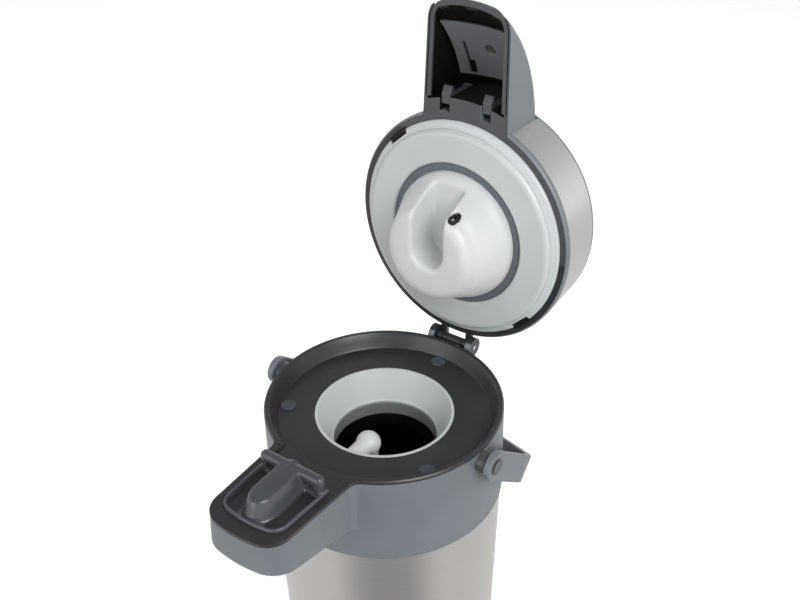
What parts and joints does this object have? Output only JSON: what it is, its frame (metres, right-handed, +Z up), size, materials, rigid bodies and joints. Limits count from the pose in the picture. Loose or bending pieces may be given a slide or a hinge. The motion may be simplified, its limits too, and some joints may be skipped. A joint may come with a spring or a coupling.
{
  "type": "vacuum pump pot",
  "caption": "Vacuum pump pot with a hinged pump lid standing open, a covered spout beak, a carrying bail behind the body and a turning base.",
  "frame": {"origin": "centre of the base, on the surface it stands on", "axes": "+Z up along the axis of the body, -Y towards the spout, +Y towards the lid hinge and the hanging bail, +X to the right of someone who looks along +Y"},
  "size_m": [0.1818, 0.2797, 0.5371],
  "materials": {
    "dark_plastic": "fine-grained dark grey plastic, semi-matt",
    "grey_plastic": "blue-grey moulded plastic with a satin sheen",
    "ridge_plastic": "mid grey moulded plastic with a satin sheen",
    "lid_plastic": "dark slate grey moulded plastic",
    "light_plastic": "light grey moulded plastic, smooth",
    "white_plastic": "off-white food-safe plastic, smooth",
    "tube_plastic": "translucent natural plastic",
    "body_steel": "brushed stainless steel, fine vertical grain",
    "band_steel": "brushed stainless steel, grain round the band",
    "flask_steel": "bright drawn stainless steel",
    "pin_steel": "plain bright steel",
    "seal_rubber": "grey silicone rubber",
    "foot_rubber": "black rubber",
    "light_rubber": "mid grey silicone rubber",
    "lock_plastic": "brick red plastic"
  },
  "bodies": {
    "foot": {"foot_plate": "dark_plastic", "foot_pads": "foot_rubber", "glide_ring": "tube_plastic", "pivot_clip": "pin_steel"},
    "pot": {"base_cover": "grey_plastic", "outer_shell": "body_steel", "inner_flask": "flask_steel", "collar": "grey_plastic", "collar_screws": "pin_steel", "deck": "dark_plastic", "deck_pads": "seal_rubber", "mouth_ring": "light_plastic", "neck_seal": "light_rubber", "spout_cover": "ridge_plastic", "dip_tube": "tube_plastic", "elbow": "white_plastic", "spout_pipe": "tube_plastic", "pipe_seal": "foot_rubber", "nozzle": "dark_plastic", "hinge_pin": "pin_steel", "bail_studs": "dark_plastic", "bail_caps": "grey_plastic"},
    "bail": {"bail": "grey_plastic"},
    "lid": {"lid_frame": "lid_plastic", "lid_band": "band_steel", "lid_top": "lid_plastic", "inner_cover": "light_plastic", "snap_tabs": "dark_plastic", "lid_gasket": "seal_rubber", "stopper": "white_plastic", "air_grommet": "foot_rubber", "hood_plate": "dark_plastic", "hood_screw": "pin_steel", "latch_spring": "pin_steel", "bellows": "light_rubber", "return_spring": "pin_steel", "lid_screws": "pin_steel"},
    "pump": {"plunger": "lid_plastic", "push_button": "grey_plastic", "button_badge": "band_steel"},
    "lock": {"lock_slider": "lock_plastic"},
    "latch": {"latch": "dark_plastic"}
  },
  "joints": [
    {"name": "base_swivel", "type": "hinge", "parent": "foot", "child": "pot", "pos_m": [0, 0, 0], "axis": [0, 0, 1], "continuous": true},
    {"name": "lid_hinge", "type": "hinge", "parent": "pot", "child": "lid", "pos_m": [0, 0.0843, 0.3105], "axis": [1, 0, 0], "range_deg": [0, 91]},
    {"name": "bail_hinge", "type": "hinge", "parent": "pot", "child": "bail", "pos_m": [0, -0.0054, 0.303], "axis": [1, 0, 0], "range_deg": [0, 40]},
    {"name": "pump_press", "type": "slide", "parent": "lid", "child": "pump", "axis": [0, -0.9998, 0.0175], "range_m": [0, 0.02], "stiffness_N_per_m": 600, "springref_m": -0.004, "deforming": ["bellows", "return_spring"]},
    {"name": "lock_slide", "type": "slide", "parent": "lid", "child": "lock", "axis": [0, 0.0175, 0.9998], "range_m": [0, 0.005]},
    {"name": "latch_slide", "type": "slide", "parent": "lid", "child": "latch", "axis": [0, -0.0175, -0.9998], "range_m": [0, 0.004], "stiffness_N_per_m": 500, "springref_m": -0.003, "deforming": ["latch_spring"]}
  ]
}
